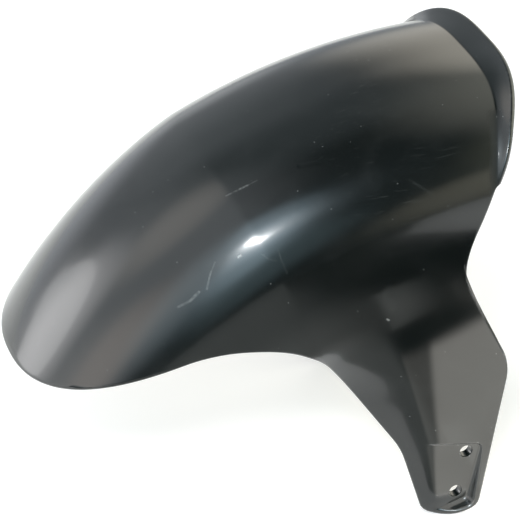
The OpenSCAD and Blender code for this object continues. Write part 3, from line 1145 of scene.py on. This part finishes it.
def leg_panel():
    """A softly shaded light panel close beside the leg."""
    sheet, net = flat_sheet("leg_panel", [
        (PANEL_REAR, PANEL_Y, PANEL_LOW), (PANEL_FRONT, PANEL_Y, PANEL_LOW),
        (PANEL_FRONT, PANEL_Y, PANEL_HIGH), (PANEL_REAR, PANEL_Y, PANEL_HIGH),
    ])
    x, _, z = net.xyz()
    # Its light ends softly along slanting lines that follow the leg, and fades a little downward
    height = net.math("ADD", z, net.times(x, 0.25))
    ahead = net.math("ADD", x, net.times(z, -0.17))
    front_edge = net.band(ahead, -0.0695, -0.066, 0.25, 0.0)
    lit_share = net.math("ADD", front_edge, net.band(x, -0.0725, -0.0675, 0.75, 0.0))
    lit_share = net.times(lit_share, net.band(z, 0.02, 0.05, 0.86, 1.0))
    lit_share = net.times(lit_share, net.band(height, 0.067, 0.075, 1.0, 0.0))
    strength = net.times(lit_share, PANEL_STRENGTH)
    lit = net.add("ShaderNodeEmission", {"Color": PANEL_COLOUR, "Strength": strength})
    clear = net.add("ShaderNodeBsdfTransparent")
    see_through = net.add("ShaderNodeAddShader", {0: lit.outputs[0], 1: clear.outputs[0]})
    net.put(net.tree.nodes["Material Output"].inputs["Surface"], see_through.outputs[0])
    sheet.visible_camera = False
    sheet.visible_shadow = False
    sheet.visible_transmission = False
    return sheet


floor = pale_floor()
shade_sheet = mirrored_shade_sheet()
panel = leg_panel()

# The world is a dim room with soft bright regions: azimuth and elevation of each,
# its inner and outer half angle, and its colour
ROOM = (0.045, 0.05, 0.055)
GLOWS = [
    (0, 27, 25, 58, (1.02, 1.08, 1.13)),
    (-80, -5, 22, 50, (0.45, 0.48, 0.51)),
    (54, 35, 6, 32, (0.58, 0.78, 0.88)),
    (64, 42, 1, 15, (1.5, 2.0, 2.3)),
    (54, 51, 1, 16, (1.1, 1.5, 1.75)),
    (66, 32, 1, 16, (1.2, 1.6, 1.85)),
    (78, 18, 3, 20, (0.40, 0.58, 0.64)),
    (-168, 35, 25, 52, (1.12, 1.12, 0.98)),
    (-36, 11, 6, 22, (1.7, 1.65, 1.65)),
    (159, 19, 25, 50, (0.92, 0.94, 0.70)),
    (113, 9, 3, 15, (0.80, 0.76, 0.60)),
    (-70, -5, 6, 22, (0.55, 0.56, 0.60)),
    (-119, 21, 5, 21, (1.30, 1.22, 1.05)),
    (10, 3, 12, 36, (0.72, 0.68, 0.64)),
    (18, 20, 4, 23, (0.60, 0.44, 0.33)),
    (-34, 43, 3, 18, (0.62, 0.52, 0.42)),
    (-72, 47, 3, 34, (0.20, 0.23, 0.24)),
    (-91, 5, 1, 11, (0.40, 0.40, 0.40)),
]
LAMP_AIM = Vector((0, 0, 0.12))


def facing(azimuth, elevation):
    """Direction towards a place: azimuth 0 is forward and 90 is left."""
    a, e = math.radians(azimuth), math.radians(elevation)
    return np.array([math.cos(a) * math.cos(e), math.sin(a) * math.cos(e), math.sin(e)])


def soft_room():
    world = bpy.data.worlds.new("studio")
    net = Net(world)
    toward = net.add("ShaderNodeTexCoord").outputs["Generated"]
    light = ROOM
    for azimuth, elevation, inner_angle, outer_angle, tint in GLOWS:
        cosine = net.vector("DOT_PRODUCT", toward, tuple(facing(azimuth, elevation)), out="Value")
        glow = net.band(cosine, math.cos(math.radians(outer_angle)), math.cos(math.radians(inner_angle)))
        light = net.vector("ADD", light, net.scaled(tint, glow))
    net.put(net.tree.nodes["Background"].inputs["Color"], light)
    return world


def card(name, azimuth, elevation, away, size, radiance):
    """A soft oval lamp that faces the object, given by how bright it looks."""
    data = bpy.data.lights.new(name, "AREA")
    data.shape = "ELLIPSE"
    data.size, data.size_y = size
    data.energy = radiance * math.pi * size[0] * size[1]
    lamp = bpy.data.objects.new(name, data)
    lamp.location = LAMP_AIM + Vector(facing(azimuth, elevation)) * away
    lamp.rotation_euler = (LAMP_AIM - lamp.location).to_track_quat("-Z", "Y").to_euler()
    lamp.visible_camera = False
    bpy.context.scene.collection.objects.link(lamp)


bpy.context.scene.world = soft_room()
card("key", 61.5, 42.5, 1.5, (0.32, 0.17), 40)
card("window", -38, 9, 1.2, (0.62, 0.5), 1.4)

camera_data = bpy.data.cameras.new("camera")
camera_data.lens = SENSOR * FOCAL_PIXELS / IMAGE_SIDE
camera = bpy.data.objects.new("camera", camera_data)
camera.location = camera_place
camera.rotation_euler = Vector(-to_camera).to_track_quat("-Z", "Y").to_euler()
bpy.context.scene.collection.objects.link(camera)
bpy.context.scene.camera = camera
bpy.context.scene.view_settings.view_transform = "Standard"
